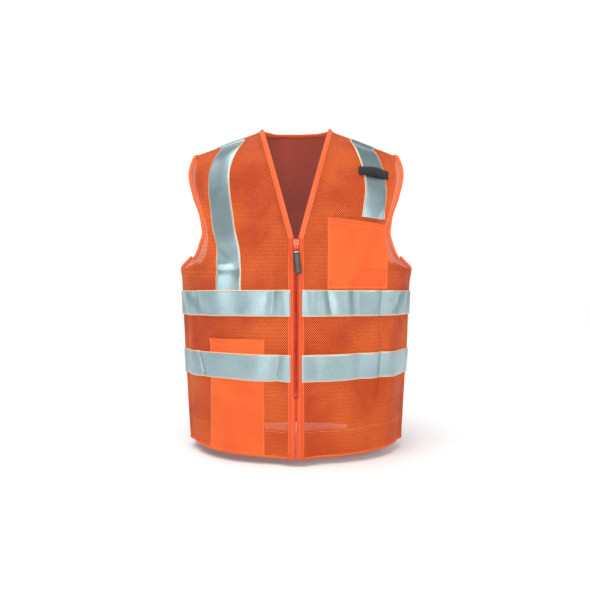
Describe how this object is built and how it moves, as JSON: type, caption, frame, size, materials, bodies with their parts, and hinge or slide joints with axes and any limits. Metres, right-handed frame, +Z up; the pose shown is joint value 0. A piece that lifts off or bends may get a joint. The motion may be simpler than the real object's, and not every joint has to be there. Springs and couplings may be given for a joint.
{
  "type": "high visibility vest",
  "caption": "Sleeveless zip-front high visibility mesh vest with a V neck, reflective tapes, three pockets and a microphone tab, shown worn with no wearer.",
  "frame": {"origin": "midway between the two neck points of the shoulder line, at their height", "axes": "+Z up, -Y towards the front of the vest, +X towards the wearer's left"},
  "size_m": [0.4924, 0.2701, 0.665],
  "materials": {
    "mesh": "orange polyester mesh",
    "solid_cloth": "orange knitted polyester",
    "binding": "orange folded binding",
    "reflective_tape": "silver retroreflective tape",
    "zip_tape": "orange woven zip tape",
    "zip_plastic": "moulded orange plastic",
    "slider_metal": "orange enamel on zinc",
    "black_webbing": "black woven nylon",
    "grey_band": "light grey plastic",
    "black_plastic": "black moulded rubbery plastic",
    "grey_inlay": "grey-green inlay"
  },
  "bodies": {
    "vest_back": {"back_panel": "mesh", "neck_binding_back": "binding", "back_armhole_binding_left": "binding", "back_armhole_binding_right": "binding", "upper_band_back": "reflective_tape", "lower_band_back": "reflective_tape", "vertical_tape_back_left": "reflective_tape", "vertical_tape_back_right": "reflective_tape", "hem_facing_back": "solid_cloth", "shoulder_seam_left": "solid_cloth", "shoulder_seam_right": "solid_cloth", "side_seam_left": "solid_cloth", "side_seam_right": "solid_cloth"},
    "front_left": {"front_panel_left": "mesh", "neck_binding_left": "binding", "front_armhole_binding_left": "binding", "upper_band_left": "reflective_tape", "lower_band_left": "reflective_tape", "vertical_tape_left": "reflective_tape", "chest_pocket": "solid_cloth", "inside_pocket": "solid_cloth", "hem_facing_left": "solid_cloth", "placket_left": "solid_cloth", "zip_tape_left": "zip_tape", "zip_teeth_left": "zip_plastic", "top_stop_left": "zip_plastic", "insertion_pin": "zip_plastic", "mic_tab": "black_webbing"},
    "front_right": {"front_panel_right": "mesh", "neck_binding_right": "binding", "front_armhole_binding_right": "binding", "upper_band_right": "reflective_tape", "lower_band_right": "reflective_tape", "vertical_tape_right": "reflective_tape", "lower_pocket": "solid_cloth", "hem_facing_right": "solid_cloth", "placket_right": "solid_cloth", "zip_tape_right": "zip_tape", "zip_teeth_right": "zip_plastic", "top_stop_right": "zip_plastic", "retainer_box": "zip_plastic"},
    "zip_slider": {"slider": "slider_metal", "slider_bail": "slider_metal"},
    "zip_tab": {"pull_tab": "slider_metal"},
    "zip_puller": {"puller_loop": "black_webbing", "puller_ring": "grey_band", "puller_grip": "black_plastic", "puller_panel": "grey_inlay"}
  },
  "joints": [
    {"name": "front_left_open", "type": "hinge", "parent": "vest_back", "child": "front_left", "pos_m": [0.2388, 0, -0.4805], "axis": [0.0535, 0, 0.9986], "range_deg": [0, 30]},
    {"name": "front_right_open", "type": "hinge", "parent": "vest_back", "child": "front_right", "pos_m": [-0.2388, 0, -0.4805], "axis": [0.0535, 0, -0.9986], "range_deg": [0, 30]},
    {"name": "zip_slide", "type": "slide", "parent": "front_right", "child": "zip_slider", "axis": [0, 0, -1], "range_m": [0, 0.275]},
    {"name": "tab_swing", "type": "hinge", "parent": "zip_slider", "child": "zip_tab", "pos_m": [0, -0.135, -0.257], "axis": [-1, 0, 0], "range_deg": [0, 110]},
    {"name": "puller_sway", "type": "hinge", "parent": "zip_tab", "child": "zip_puller", "pos_m": [0, -0.135, -0.2651], "axis": [0, 1, 0], "range_deg": [-20, 30]}
  ],
  "couplings": [
    {"joint": "front_right_open", "follows": "front_left_open", "ratio": 1}
  ]
}
